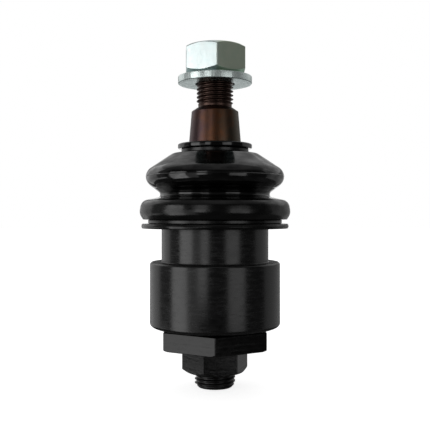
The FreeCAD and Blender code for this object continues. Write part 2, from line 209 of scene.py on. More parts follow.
world = bpy.data.worlds.new("studio")
world.use_nodes = True
world.cycles.sampling_method = "NONE"
scene.world = world
tree = world.node_tree
tree.nodes.clear()
path = node(tree, "ShaderNodeLightPath")
away = parts_of(tree, node(tree, "ShaderNodeTexCoord").outputs["Generated"])
backdrop = levels(tree, away["Y"], BACKDROP_STARTS, BACKDROP_FULL, GAP, 1.0)
bounce = levels(tree, away["Z"], BOUNCE_STARTS, BOUNCE_FULL, 0.0, BOUNCE)
ceiling = levels(tree, away["Z"], CEILING_STARTS, CEILING_FULL, 0.0, CEILING)
surroundings = maths(tree, "ADD", maths(tree, "ADD", backdrop, bounce), ceiling)
glossy_light = maths(tree, "MULTIPLY", path.outputs["Is Glossy Ray"], surroundings)
not_glossy = maths(tree, "SUBTRACT", 1.0, path.outputs["Is Glossy Ray"])
plain_light = maths(tree, "MULTIPLY", not_glossy, AMBIENT)
seen = maths(tree, "MAXIMUM", path.outputs["Is Camera Ray"], path.outputs["Is Transmission Ray"])
level = maths(tree, "MAXIMUM", maths(tree, "ADD", glossy_light, plain_light), seen)
light = node(tree, "ShaderNodeBackground", {"Color": (1, 1, 1, 1), "Strength": level})
node(tree, "ShaderNodeOutputWorld", {"Surface": light.outputs[0]})
scene.view_settings.view_transform = "Standard"
print("world", world.name, "with", len(tree.nodes), "nodes")

# %% [markdown]
# ## Floor
# The floor glows a little for the camera, so that it runs into the white, and still takes the part's
# soft shadow. From beneath it is clear, so that the screw's socket can be looked at.

# %% Lay the floor
FLOOR_HALF = 3.0
FLOOR_WHITE = 0.9
FLOOR_GLOW = 0.76
GLOW_NEAR = 0.1
GLOW_FAR = 0.45

floor_z = cad_box[0][2]
floor_mesh = bpy.data.meshes.new("floor")
corners = [(-FLOOR_HALF, -FLOOR_HALF), (FLOOR_HALF, -FLOOR_HALF), (FLOOR_HALF, FLOOR_HALF),
           (-FLOOR_HALF, FLOOR_HALF)]
floor_mesh.from_pydata([(x, y, floor_z) for x, y in corners], [], [(0, 1, 2, 3)])
floor = bpy.data.objects.new("floor", floor_mesh)
scene.collection.objects.link(floor)
floor.visible_glossy = False
paint = bpy.data.materials.new("floor_white")
paint.use_nodes = True
tree = paint.node_tree
tree.nodes.clear()
path = node(tree, "ShaderNodeLightPath")
matt = node(tree, "ShaderNodeBsdfDiffuse", {"Color": (FLOOR_WHITE, FLOOR_WHITE, FLOOR_WHITE, 1)})
away = node(tree, "ShaderNodeVectorMath", {0: position(tree)}, operation="LENGTH").outputs["Value"]
rising = levels(tree, away, GLOW_NEAR, GLOW_FAR, FLOOR_GLOW, 1.0)
glow = maths(tree, "MULTIPLY", path.outputs["Is Camera Ray"], rising)
glowing = node(tree, "ShaderNodeEmission", {"Color": (1, 1, 1, 1), "Strength": glow})
both = node(tree, "ShaderNodeAddShader", {0: matt.outputs[0], 1: glowing.outputs[0]})
beneath = node(tree, "ShaderNodeNewGeometry").outputs["Backfacing"]
clear = node(tree, "ShaderNodeBsdfTransparent")
one_sided = node(tree, "ShaderNodeMixShader", {0: beneath, 1: both.outputs[0], 2: clear.outputs[0]})
node(tree, "ShaderNodeOutputMaterial", {"Surface": one_sided.outputs[0]})
floor_mesh.materials.append(paint)
print("floor at", round(floor_z / MM, 2), "mm")

# %% [markdown]
# ## Shared effects
# Steel from a lathe, rubber from a mould and zinc from a bath have effects in common, so each effect
# is a node group that a finish places with its own values. Grain is plain noise between two levels,
# and can be squeezed into low streaks or drawn out into upright ones. Tool marks are noise that
# depends only on radius and height, so that they run round the part. Wear is a mask on convex edges,
# from how sharply the mesh bends; the steels use it for rubbed wear and for a painted highlight along
# the edges.


# %% Make the shared node groups
def effect(name, inputs, output):
    """An empty node group with these float inputs and one float output."""
    made = bpy.data.node_groups.new(name, "ShaderNodeTree")
    for label, value in inputs.items():
        socket = made.interface.new_socket(label, in_out="INPUT", socket_type="NodeSocketFloat")
        socket.default_value = value
    made.interface.new_socket(output, in_out="OUTPUT", socket_type="NodeSocketFloat")
    return made, node(made, "NodeGroupInput").outputs, node(made, "NodeGroupOutput")


NOISE_LOW, NOISE_HIGH = 0.3, 0.7


def make_grain():
    """Noise at a size in millimetres; Flatten above 1 gives low patches, below 1 upright streaks."""
    made, given, result = effect(
        "grain", {"Size": 1.0, "Detail": 3.0, "Low": 0.0, "High": 1.0, "Flatten": 1.0}, "Value")
    upright = node(made, "ShaderNodeCombineXYZ", {0: 1.0, 1: 1.0, 2: given["Flatten"]})
    place = node(made, "ShaderNodeVectorMath", {0: position(made), 1: upright.outputs[0]},
                 operation="MULTIPLY").outputs[0]
    scale = maths(made, "DIVIDE", 1 / MM, given["Size"])
    noise = node(made, "ShaderNodeTexNoise", {
        "Vector": place, "Scale": scale, "Detail": given["Detail"]})
    spread = levels(made, noise.outputs[0], NOISE_LOW, NOISE_HIGH, given["Low"], given["High"])
    made.links.new(spread, result.inputs[0])
    return made


MARKS_DETAIL = 2.0
PATCHES_PER_MM = 0.15


def make_tool_marks():
    """Fine rings round the axis, as a lathe leaves them; Radial is how far they follow the radius."""
    made, given, result = effect("tool_marks", {"Size": 0.3, "Break Up": 0.3, "Radial": 1.0}, "Height")
    place = position(made)
    x, y, z = parts_of(made, place)
    flat = node(made, "ShaderNodeCombineXYZ", {0: x, 1: y, 2: 0.0})
    radius = node(made, "ShaderNodeVectorMath", {0: flat.outputs[0]},
                  operation="LENGTH").outputs["Value"]
    outwards = maths(made, "MULTIPLY", radius, given["Radial"])
    rings = node(made, "ShaderNodeCombineXYZ", {0: outwards, 1: z, 2: 0.0})
    scale = maths(made, "DIVIDE", 1 / MM, given["Size"])
    marks = node(made, "ShaderNodeTexNoise", {
        "Vector": rings.outputs[0], "Scale": scale, "Detail": MARKS_DETAIL})
    patches = node(made, "ShaderNodeTexNoise", {
        "Vector": place, "Scale": PATCHES_PER_MM / MM, "Detail": MARKS_DETAIL})
    broken = maths(made, "MULTIPLY", patches.outputs[0], given["Break Up"])
    made.links.new(maths(made, "ADD", marks.outputs[0], broken), result.inputs[0])
    return made


RAGS_PER_MM = 0.9
RAGS_DETAIL = 4.0


def make_wear_and_highlight():
    """A mask on convex edges, with a ragged border: rubbed wear and a painted edge highlight."""
    made, given, result = effect("edge_wear_and_highlight", {"Start": 0.53, "Soft": 0.04, "Ragged": 0.03}, "Mask")
    bend = node(made, "ShaderNodeNewGeometry").outputs["Pointiness"]
    noise = node(made, "ShaderNodeTexNoise", {
        "Vector": position(made), "Scale": RAGS_PER_MM / MM, "Detail": RAGS_DETAIL})
    shake = maths(made, "MULTIPLY", maths(made, "SUBTRACT", noise.outputs[0], 0.5), given["Ragged"])
    full = maths(made, "ADD", given["Start"], given["Soft"])
    mask = levels(made, maths(made, "ADD", bend, shake), given["Start"], full)
    made.links.new(mask, result.inputs[0])
    return made


EFFECTS = {"grain": make_grain(), "tool_marks": make_tool_marks(), "edge_wear_and_highlight": make_wear_and_highlight()}
print("shared effects", sorted(EFFECTS))

# %% [markdown]
# ## Finishes
# Every finish is one Principled shader. Values that are the same all over stand on its own sockets;
# what varies over the surface comes from the shared effects, so it stays with the part in any view.


# %% Helpers for finishes
FINISHES = {}


def place_effect(tree, name, **values):
    """Puts a shared effect into a material with its own values; returns its output."""
    made = node(tree, "ShaderNodeGroup")
    made.node_tree = EFFECTS[name]
    for label, value in values.items():
        made.inputs[label.replace("_", " ").title()].default_value = value
    return made.outputs[0]


def finish_material(name, **fixed):
    """A material with one Principled shader and these fixed values on its sockets."""
    made = bpy.data.materials.new(name)
    made.use_nodes = True
    tree = made.node_tree
    shader = tree.nodes["Principled BSDF"]
    for label, value in fixed.items():
        shader.inputs[label.replace("_", " ").title().replace("Ior", "IOR")].default_value = value
    return made, tree, shader.inputs


def mixed(tree, share, first, second):
    """A colour between two colours; returns the output."""
    made = node(tree, "ShaderNodeMix", {"Factor": share}, data_type="RGBA")
    for key, value in ((6, first), (7, second)):
        if isinstance(value, bpy.types.NodeSocket):
            tree.links.new(value, made.inputs[key])
        else:
            made.inputs[key].default_value = (*value, 1)
    return made.outputs[2]


def bumped(tree, inputs, height, depth_mm):
    """Feeds a height to the shader's normal."""
    made = node(tree, "ShaderNodeBump", {"Height": height, "Distance": depth_mm * MM})
    tree.links.new(made.outputs[0], inputs["Normal"])


def paler(colour, times):
    """The same colour, this many times as bright."""
    return [min(1.0, value * times) for value in colour]


print("finish helpers ready")

# %% [markdown]
# ## Blackened steel
# The housing, the cap, the jam nut, the screw and the boot's rings wear a dark oxide on turned metal,
# so they reflect like a lacquer: weakly in front, strongly along the sides. The lathe's rings and low
# cloudy streaks change the roughness, which is what breaks the edges of the stripes. Paler steel
# shows on convex edges, partly as rubbed wear and partly as a painted highlight along the edges, and
# in a few scratches. Faces that look straight up are cut coarser, so they are duller. Each steel has
# its own values, because a hexagon is milled and a barrel is turned.

# %% Blackened steel
CLOUD_MM = 9.0
SPECK_MM = 3.0
SPECK_FLATTEN = 4.0
SPECK_LOW = -0.4
SPECK_SHARE = 0.6
SPECK_PALER = 2.5
SPECK_ROUGHER = 0.08
SPECK_HEIGHT = 0.8
EDGE_WEAR_AND_HIGHLIGHT_PALER = 12
EDGE_WEAR_AND_HIGHLIGHT_SHARE = 0.6
SCRATCH_STARTS, SCRATCH_FULL = 0.62, 0.8
RING_LOW, RING_HIGH = 0.35, 0.95
FACED_STARTS, FACED_FULL = 0.9, 0.99
FACED_ROUGHER = 0.35


def turned_black(name, dark, pale, rough_low, rough_high, marks_mm, depth_mm, wear_and_highlight_start, radial=1.0,
                 specular=0.55, scratched=0.07):
    """Blackened steel off a lathe, with paler edges (rubbed wear and painted highlight) and coarser
    faces on top.
    """
    made, tree, inputs = finish_material(name, specular_ior_level=specular)
    cloud = place_effect(tree, "grain", size=CLOUD_MM, detail=4.0)
    specks = place_effect(tree, "grain", size=SPECK_MM, detail=4.0, low=SPECK_LOW,
                          flatten=SPECK_FLATTEN)
    speck_share = maths(tree, "MULTIPLY", specks, SPECK_SHARE, clamp=True)
    mottled = mixed(tree, speck_share, mixed(tree, cloud, dark, pale), paler(pale, SPECK_PALER))
    # Paler convex edges: partly rubbed wear, partly a painted highlight along the edges.
    wear_and_highlight = place_effect(tree, "edge_wear_and_highlight", start=wear_and_highlight_start)
    marks = place_effect(tree, "tool_marks", size=marks_mm, radial=radial)
    scratches = levels(tree, marks, SCRATCH_STARTS, SCRATCH_FULL, 0.0, scratched)
    rubbed_and_highlighted = maths(tree, "ADD", maths(tree, "MULTIPLY", wear_and_highlight, EDGE_WEAR_AND_HIGHLIGHT_SHARE), scratches, clamp=True)
    tree.links.new(mixed(tree, rubbed_and_highlighted, mottled, paler(pale, EDGE_WEAR_AND_HIGHLIGHT_PALER)), inputs["Base Color"])
    rough = levels(tree, marks, RING_LOW, RING_HIGH, rough_low, rough_high)
    up = parts_of(tree, node(tree, "ShaderNodeNewGeometry").outputs["Normal"])[2]
    faced = levels(tree, up, FACED_STARTS, FACED_FULL, 0.0, FACED_ROUGHER)
    cloudy = maths(tree, "ADD", maths(tree, "MULTIPLY", specks, SPECK_ROUGHER), faced)
    tree.links.new(maths(tree, "ADD", rough, cloudy), inputs["Roughness"])
    height = maths(tree, "ADD", marks, maths(tree, "MULTIPLY", specks, SPECK_HEIGHT))
    bumped(tree, inputs, height, depth_mm)
    return made


FINISHES["housing_steel"] = turned_black(
    "nitrided_barrel", (0.002, 0.002, 0.0021), (0.0048, 0.0048, 0.0049),
    rough_low=0.16, rough_high=0.26, marks_mm=0.5, depth_mm=0.0016, wear_and_highlight_start=0.54)
# The low wear start widens the paler edges here, a painted highlight on the hexagon's edges.
FINISHES["hex_steel"] = turned_black(
    "blackened_hexagon", (0.0006, 0.0006, 0.0006), (0.0014, 0.0014, 0.0014),
    rough_low=0.12, rough_high=0.28, marks_mm=0.6, depth_mm=0.024, wear_and_highlight_start=0.515,
    radial=0.08, specular=0.42, scratched=0.12)
FINISHES["screw_steel"] = turned_black(
    "blackened_screw", (0.0012, 0.0012, 0.0012), (0.004, 0.0037, 0.0034),
    rough_low=0.24, rough_high=0.36, marks_mm=0.3, depth_mm=0.003, wear_and_highlight_start=0.56)
FINISHES["ring_steel"] = turned_black(
    "boot_ring_black", (0.001, 0.001, 0.001), (0.003, 0.003, 0.003),
    rough_low=0.2, rough_high=0.3, marks_mm=0.2, depth_mm=0.002, wear_and_highlight_start=0.6)
print("blackened steels", len(FINISHES))

# %% [markdown]
# ## Moulded rubber
# The boot has a wet-looking skin: almost no colour, faint waves from the mould, and a film of oil that
# comes and goes in low patches and gives the tight highlights. Its lower fold has been handled, so
# there the film is thinner and the skin duller. The seal ring is the same rubber, nearly dry.

# %% Moulded rubber
HANDLED_MM = 21.0
CLEAN_MM = 26.0
HANDLED_FILM = 0.4
HANDLED_ROUGHER = 0.18
FILM_ROUGHNESS = 0.07
FILM_FLATTEN = 3.0
DUSTY_PALER = 2.2
WAVE_DEPTH_MM = 0.06
SKIN_HEIGHT = 0.1


def rubber(name, base, rough_low, rough_high, specular, film_low, film_high):
    """Moulded black rubber with faint smears, a fine skin and a film of oil that comes and goes."""
    made, tree, inputs = finish_material(
        name, specular_ior_level=specular, coat_roughness=FILM_ROUGHNESS)
    film = place_effect(tree, "grain", size=6.0, detail=4.0, low=film_low, high=film_high,
                        flatten=FILM_FLATTEN)
    height = parts_of(tree, position(tree))[2]
    clean = levels(tree, height, HANDLED_MM * MM, CLEAN_MM * MM, HANDLED_FILM, 1.0)
    tree.links.new(maths(tree, "MULTIPLY", film, clean, clamp=True), inputs["Coat Weight"])
    spots = place_effect(tree, "grain", size=0.8, detail=3.0)
    tree.links.new(mixed(tree, spots, base, paler(base, DUSTY_PALER)), inputs["Base Color"])
    smears = place_effect(tree, "grain", size=4.0, detail=5.0, low=rough_low, high=rough_high)
    dulled = maths(tree, "MULTIPLY", maths(tree, "SUBTRACT", 1.0, clean), HANDLED_ROUGHER)
    tree.links.new(maths(tree, "ADD", smears, dulled), inputs["Roughness"])
    waves = place_effect(tree, "grain", size=7.0, detail=1.0)
    skin = place_effect(tree, "grain", size=1.6, detail=2.0, high=SKIN_HEIGHT)
    bumped(tree, inputs, maths(tree, "ADD", waves, skin), WAVE_DEPTH_MM)
    return made


FINISHES["boot_rubber"] = rubber(
    "boot_rubber", (0.0004, 0.0004, 0.0004), rough_low=0.08, rough_high=0.2, specular=0.42,
    film_low=-0.3, film_high=1.0)
FINISHES["seal_rubber"] = rubber(
    "seal_rubber", (0.004, 0.004, 0.004), rough_low=0.4, rough_high=0.6, specular=0.4,
    film_low=0.0, film_high=0.1)
print("rubbers", [FINISHES[slot].name for slot in ("boot_rubber", "seal_rubber")])

# %% [markdown]
# ## Zinc
# The stud nut is plated with bright zinc under a thin clear bath, which leaves it cool on one side
# and faintly straw on the other; a little haze keeps it from being a mirror. The washer has the same
# plating on another surface: the punch left upright streaks on its rim, and its faces are plain and
# carry painted shade, much darker than the rim. So the washer tells its rim from its faces by the
# direction in which each point looks, and darkens its faces by that direction.

# %% Zinc
COOL_ZINC = [(0.82, 0.95, 0.95), (0.9, 0.98, 0.97)]
STRAW_ZINC = [(0.76, 0.9, 0.72), (0.85, 0.95, 0.77)]
STRAW_STARTS_MM, STRAW_FULL_MM = 0.0, 2.0
ORANGE_PEEL_MM = 0.003
RIM_ZINC, FACE_ZINC_PAINTED_SHADE = (0.83, 0.93, 0.91), (0.36, 0.46, 0.45)
RIM_METAL, FACE_METAL = 0.7, 0.95
STREAK_WIDTH_MM = 1.3
STREAK_FLATTEN = 0.05
STREAK_DEPTH_MM = 0.045


def plated_zinc(name, haze, rough_low, rough_high):
    """Soft bright zinc with a haze, cool on one side and faintly straw on the other."""
    made, tree, inputs = finish_material(name, metallic=1 - haze)
    patches = place_effect(tree, "grain", size=3.5, detail=3.0)
    across = parts_of(tree, position(tree))[0]
    straw = levels(tree, across, STRAW_STARTS_MM * MM, STRAW_FULL_MM * MM)
    tint = mixed(tree, straw, mixed(tree, patches, *COOL_ZINC), mixed(tree, patches, *STRAW_ZINC))
    tree.links.new(tint, inputs["Base Color"])
    skin = place_effect(tree, "grain", size=1.4, detail=4.0, low=rough_low, high=rough_high)
    tree.links.new(skin, inputs["Roughness"])
    bumped(tree, inputs, place_effect(tree, "grain", size=1.8, detail=3.0), ORANGE_PEEL_MM)
    return made


def sheared_zinc_painted_face_shade(name, rough_low, rough_high):
    """Zinc on a punched piece: upright streaks and a haze on the rim, faces darkened by painted shade.
    """
    made, tree, inputs = finish_material(name)
    normal = node(tree, "ShaderNodeTexCoord").outputs["Normal"]
    face = maths(tree, "ABSOLUTE", parts_of(tree, normal)[2])
    rim = maths(tree, "SUBTRACT", 1.0, face)
    # Faces that look up or down get a much darker colour than the rim: painted shade by direction.
    tree.links.new(mixed(tree, face, RIM_ZINC, FACE_ZINC_PAINTED_SHADE), inputs["Base Color"])
    tree.links.new(levels(tree, face, 0.0, 1.0, RIM_METAL, FACE_METAL), inputs["Metallic"])
    skin = place_effect(tree, "grain", size=1.4, detail=4.0, low=rough_low, high=rough_high)
    tree.links.new(skin, inputs["Roughness"])
    streaks = place_effect(tree, "grain", size=STREAK_WIDTH_MM, detail=3.0, flatten=STREAK_FLATTEN)
    bumped(tree, inputs, maths(tree, "MULTIPLY", streaks, rim), STREAK_DEPTH_MM)
    return made


FINISHES["zinc_plate"] = plated_zinc("zinc_plate", haze=0.14, rough_low=0.28, rough_high=0.34)
washer_zinc_face_shade = sheared_zinc_painted_face_shade("sheared_zinc_painted_face_shade", rough_low=0.24, rough_high=0.32)
print("zincs", FINISHES["zinc_plate"].name, washer_zinc_face_shade.name)

# %% [markdown]
# ## Heat-coloured stud
# The stud is heat treated, which leaves a thin oxide whose colour follows the heat: purple on one
# side, orange-brown in the middle, olive on the other. A colour ramp across the stud gives the three,
# clouds bend their borders, and fine glints keep the steel from looking painted. From the undercut up
# the colour turns one darker brown: in the undercut it is painted shade, and it carries on over the
# thread.

# %% Heat-coloured stud
HEATED_MM = 9.0
HEAT_COLOURS = [
    (0.12, (0.088, 0.055, 0.06)), (0.52, (0.17, 0.075, 0.038)), (0.88, (0.085, 0.072, 0.055))]
CLOUD_SHARE = 0.3
GLINT_LOW = -0.6
GLINT_SHARE = 0.35
GLINT_COLOUR = (0.11, 0.08, 0.06)
UNDERCUT_SHADE_AND_THREAD_COLOUR = (0.095, 0.06, 0.05)
UNDERCUT_SHADE_STARTS_MM, UNDERCUT_SHADE_FULL_MM = 57.0, 59.0
STUD_RING_LOW, STUD_RING_HIGH = 0.3, 0.9
STUD_ROUGH_LOW, STUD_ROUGH_HIGH = 0.3, 0.42


def stud_bronze(name):
    """Heat-coloured steel: brown, purple and olive clouds on the taper, a darker brown from the
    undercut up, which is painted shade in the undercut and carries on over the thread.
    """
    made, tree, inputs = finish_material(name, metallic=1.0)
    cloud = place_effect(tree, "grain", size=4.0, detail=4.0)
    across, _, height = parts_of(tree, position(tree))
    heat = levels(tree, across, -HEATED_MM * MM, HEATED_MM * MM)
    heat = maths(tree, "ADD", heat, maths(tree, "MULTIPLY", cloud, CLOUD_SHARE))
    tint = node(tree, "ShaderNodeValToRGB", {0: maths(tree, "SUBTRACT", heat, CLOUD_SHARE / 2)})
    stops = tint.color_ramp.elements
    stops.remove(stops[1])
    for index, (place, colour) in enumerate(HEAT_COLOURS):
        stop = stops.new(place) if index else stops[0]
        stop.position, stop.color = place, (*colour, 1)
    glint = place_effect(tree, "grain", size=1.1, detail=3.0, low=GLINT_LOW)
    glint_share = maths(tree, "MULTIPLY", glint, GLINT_SHARE, clamp=True)
    tinted = mixed(tree, glint_share, tint.outputs[0], GLINT_COLOUR)
    # Painted shade in the undercut, going on as a darker brown over the thread.
    undercut_shade_and_thread = levels(tree, height, UNDERCUT_SHADE_STARTS_MM * MM, UNDERCUT_SHADE_FULL_MM * MM)
    tree.links.new(mixed(tree, undercut_shade_and_thread, tinted, UNDERCUT_SHADE_AND_THREAD_COLOUR), inputs["Base Color"])
    marks = place_effect(tree, "tool_marks", size=0.3)
    rough = levels(tree, marks, STUD_RING_LOW, STUD_RING_HIGH, STUD_ROUGH_LOW, STUD_ROUGH_HIGH)
    tree.links.new(rough, inputs["Roughness"])
    bumped(tree, inputs, marks, depth_mm=0.003)
    return made


FINISHES["stud_steel"] = stud_bronze("stud_bronze")
print("stud finish", FINISHES["stud_steel"].name)

# %% [markdown]
# ## Finishes of the hidden stack
# The springs and the plate are oiled spring steel, and the seats are a natural polymer. They show
# only when the part is opened, so two simple finishes do.

# %% Finishes of the hidden stack
OILED_PALER = 1.4
OILED_ROUGHER = 0.12


def oiled_steel(name, tone, rough):
    """Oiled spring steel for the hidden stack."""
    made, tree, inputs = finish_material(name, metallic=1.0)
    cloud = place_effect(tree, "grain", size=2.0, detail=3.0)
    tree.links.new(mixed(tree, cloud, tone, paler(tone, OILED_PALER)), inputs["Base Color"])
    skin = place_effect(tree, "grain", size=0.6, low=rough, high=rough + OILED_ROUGHER)
    tree.links.new(skin, inputs["Roughness"])
    return made


SEAT_DARK, SEAT_PALE = (0.68, 0.65, 0.58), (0.76, 0.73, 0.66)


def moulded_seat(name):
    """Natural polymer for the ball's seats."""
    made, tree, inputs = finish_material(name)
    cloud = place_effect(tree, "grain", size=3.0, detail=3.0)
    tree.links.new(mixed(tree, cloud, SEAT_DARK, SEAT_PALE), inputs["Base Color"])
    tree.links.new(place_effect(tree, "grain", size=0.5, low=0.4, high=0.55), inputs["Roughness"])
    return made


FINISHES["spring_steel"] = oiled_steel("spring_steel", (0.22, 0.22, 0.23), rough=0.3)
FINISHES["seat_polymer"] = moulded_seat("seat_polymer")
print("finishes", sorted(FINISHES))

# %% [markdown]
# ## Dress the solids
# Each solid's record names the slot it wears. The rings, the seal and the hidden stack stay as
# solids, so the finish goes straight onto them.

# %% Dress the solids
node_slots = {row["node"]: row["material_slot"] for row in frame["record"]["subparts"]}
for name, solid in frame["nodes"].items():
    for place in solid.material_slots:
        place.material = FINISHES[node_slots[name]]
print("solids dressed", len(frame["nodes"]))

# %% [markdown]
# ## Turning meshes
# Nearly everything here is turned, so the helpers make bands of faces round the axis. A row is a
# radius and a height; it may depend on the direction, which gives hexagons. Bands that touch are
# welded afterwards, so a thread can be wound between two plain ends as a strip of its own.


# %% Helpers for turned pieces
WELD_MM = 0.0005


def rounded(corners, finest=9):
    """(radius, height) points through (radius, height, rounding) corners, with arcs in fine steps."""
    points = []
    last = len(corners) - 1
    for index, (radius, height, rounding) in enumerate(corners):
        corner = Vector((radius, height))
        if index in (0, last) or not rounding:
            points.append((radius, height))
            continue
        back = (Vector(corners[index - 1][:2]) - corner).normalized()
        ahead = (Vector(corners[index + 1][:2]) - corner).normalized()
        half = back.angle(ahead) / 2
        centre = corner + (back + ahead).normalized() * (rounding / math.sin(half))
        start = corner + back * (rounding / math.tan(half)) - centre
        end = corner + ahead * (rounding / math.tan(half)) - centre
        steps = max(2, math.ceil(math.degrees(math.pi - 2 * half) / finest))
        sweep = start.angle_signed(end)
        for step in range(steps + 1):
            turn = -sweep * step / steps
            x = start.x * math.cos(turn) - start.y * math.sin(turn)
            y = start.x * math.sin(turn) + start.y * math.cos(turn)
            points.append((centre.x + x, centre.y + y))
    return points


def even_angles(count):
    """Directions round the axis, evenly spaced."""
    return [2 * math.pi * index / count for index in range(count)]


def spot(mesh, radius, angle, height):
    """A vertex at a radius, a direction and a height in millimetres."""
    return mesh.verts.new((radius * MM * math.cos(angle), radius * MM * math.sin(angle), height * MM))


def revolve(mesh, rows, angles):
    """Bands between rows of (radius, height); a row may be a function of the direction."""
    rings = []
    for row in rows:
        places = [row(angle) if callable(row) else row for angle in angles]
        rings.append([spot(mesh, radius, angle, height)
                      for angle, (radius, height) in zip(angles, places)])
    for first, second in zip(rings, rings[1:]):
        for index in range(len(angles)):
            after = (index + 1) % len(angles)
            mesh.faces.new((first[index], first[after], second[after], second[index]))


def finished(name, mesh, sharp=35):
    """Welds the bands, shades them smooth up to an angle and puts the piece in the scene."""
    bmesh.ops.remove_doubles(mesh, verts=mesh.verts, dist=WELD_MM * MM)
    bmesh.ops.recalc_face_normals(mesh, faces=mesh.faces)
    data = bpy.data.meshes.new(name)
    mesh.to_mesh(data)
    mesh.free()
    data.polygons.foreach_set("use_smooth", [True] * len(data.polygons))
    data.set_sharp_from_angle(angle=math.radians(sharp))
    piece = bpy.data.objects.new(name, data)
    scene.collection.objects.link(piece)
    return piece


def dress(piece, node_name, body=None):
    """The piece stands for a solid, wears its finish and moves with its body."""
    piece.data.materials.append(FINISHES[node_slots[node_name]])
    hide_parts(node_name)
    if body:
        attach(piece, body)
    print(piece.name, "for", node_name, len(piece.data.polygons), "faces")


def span(node_name):
    """Lowest and highest height of a solid in millimetres."""
    low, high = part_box(node_name)
    return round(low[2] / MM, 3), round(high[2] / MM, 3)


print("turning helpers ready")

# %% [markdown]
# ## Threads
# A thread is one strip that winds round the axis, a groove and a ridge wide. Its height is held
# between the ends of the thread, and there the radius runs into the plain end, as a tool runs out of
# the work or a chamfer cuts the last ridge. The same strip, a little wider, makes a nut's hole.

# %% Helper for threads
PITCH = 1.5
THREAD_DEPTH = 0.92
THREAD_SHAPE = [(0.0, 0.0), (0.11, 0.0), (0.14, 0.05), (0.28, 0.5), (0.42, 0.96), (0.45, 1.0),
                (0.5, 1.0), (0.55, 1.0), (0.58, 0.96), (0.72, 0.5), (0.86, 0.05), (0.89, 0.0),
                (1.0, 0.0)]


def wind(mesh, low, high, datum, radius_at, angles):
    """A right-hand thread between two heights, with a groove at the height datum in direction zero."""
    previous = None
    for turn in range(math.floor((low - datum) / PITCH) - 1, math.ceil((high - datum) / PITCH) + 2):
        for angle in angles:
            column = []
            for along, depth in THREAD_SHAPE:
                height = datum + PITCH * (turn + angle / (2 * math.pi) + along)
                height = min(max(height, low), high)
                column.append(spot(mesh, radius_at(height, depth), angle, height))
            if previous:
                for index in range(len(column) - 1):
                    mesh.faces.new((previous[index], column[index],
                                    column[index + 1], previous[index + 1]))
            previous = column


def share(value, start, end):
    """0 before start, 1 after end, a straight change between."""
    return min(max((value - start) / (end - start), 0), 1)


print("threads of", PITCH, "mm pitch,", THREAD_DEPTH, "mm deep")

# %% [markdown]
# ## Hexagons
# A nut's corners are turned off by a cone, so its radius is the smaller of the hexagon's and the
# cone's. Taking a softened minimum rounds every edge by a few tenths, and such an edge is what
# catches the light on a real nut. The directions crowd together at the corners to show it.


# %% Helpers for hexagons
def soft_min(first, second, blend):
    """The smaller of two numbers, with the change from one to the other rounded off."""
    near = max(blend - abs(first - second), 0) / blend
    return min(first, second) - near * near * blend / 4


def hex_radius(flats, angle, corner, blend=0.15):
    """Radius of a hexagon in a direction; one of its corners points at corner, in degrees."""
    off = (math.degrees(angle) - corner) % 60 - 30
    this_side = flats / 2 / math.cos(math.radians(off))
    next_side = flats / 2 / math.cos(math.radians(60 - abs(off)))
    return soft_min(this_side, next_side, blend)


def hex_angles(corner, per_side=32):
    """Directions that crowd together at the six corners."""
    angles = []
    for side in range(6):
        for step in range(per_side):
            off = 30 - 30 * math.cos(math.pi * step / per_side)
            angles.append(math.radians(corner + 60 * side + off))
    return angles


END_ROWS = 16
END_REACH = 1.3
END_CROWDING = 1.5
MIDDLE_ROWS = 4
EDGE_BREAK = 0.22
BEVEL_BLEND = 0.2


def hex_rows(flats, low, high, corner, low_edge, high_edge, slope):
    """The outside of a hexagon whose corners are turned down to a circle's radius at each end."""
    corner_r = flats / math.sqrt(3)

    def near_end(edge):
        reach = (corner_r - edge) * slope * END_REACH + EDGE_BREAK
        return [reach * (index / END_ROWS) ** END_CROWDING for index in range(END_ROWS + 1)]

    below = [low + offset for offset in near_end(low_edge)]
    above = [high - offset for offset in reversed(near_end(high_edge))]
    between = [below[-1] + (above[0] - below[-1]) * step / MIDDLE_ROWS
               for step in range(1, MIDDLE_ROWS)]

    def row_at(height):
        cone = min(low_edge + (height - low) / slope, high_edge + (high - height) / slope)
        cut = max(EDGE_BREAK - min(height - low, high - height), 0)
        return lambda angle: (
            soft_min(hex_radius(flats, angle, corner), cone, BEVEL_BLEND) - cut, height)

    return [row_at(height) for height in below + between + above]


print("hexagon helpers ready")

# %% [markdown]
# ## Housing
# The housing is the biggest black piece: a barrel, a square shoulder where the arm stops, and a neck
# with a groove for the boot. It is turned from a bar, so the mesh is one outline, inside and out.

# %% Housing
housing_low, housing_high = span("housing")
BARREL_R = 24.75
NECK_R = 20.35
SEAT_BORE_R = 17.4
CAP_BORE_R = 18.05
SEAT_STOP = 14.2
CAP_STOP = -14.0
LEAD_IN = 0.7
GROOVE_R = NECK_R - 1.3
GROOVE_LOW = SEAT_STOP + 0.2
GROOVE_HIGH = SEAT_STOP + 2.1
RIM_BEVEL = 0.6
RIM_R = NECK_R - RIM_BEVEL
MOUTH_R = 15.3
MOUTH_STOP_R = 14.0
BARREL_STEPS = 192
mesh = bmesh.new()
outline = rounded([
    (SEAT_BORE_R, CAP_STOP, 0),
    (CAP_BORE_R, CAP_STOP, 0),
    (CAP_BORE_R, housing_low + LEAD_IN, 0),
    (CAP_BORE_R + LEAD_IN, housing_low, 0),
    (BARREL_R, housing_low, 1.5),
    (BARREL_R, 0.0, 1.0),
    (NECK_R, 0.0, 0.25),
    (NECK_R, GROOVE_LOW, 0.2),
    (GROOVE_R, GROOVE_LOW, 0.4),
    (GROOVE_R, GROOVE_HIGH, 0.4),
    (NECK_R, GROOVE_HIGH, 0.2),
    (NECK_R, housing_high - RIM_BEVEL, 0.15),
    (RIM_R, housing_high, 0.15),
    (MOUTH_R, housing_high, 0.4),
    (MOUTH_STOP_R, SEAT_STOP, 0),
    (SEAT_BORE_R, SEAT_STOP, 0),
])
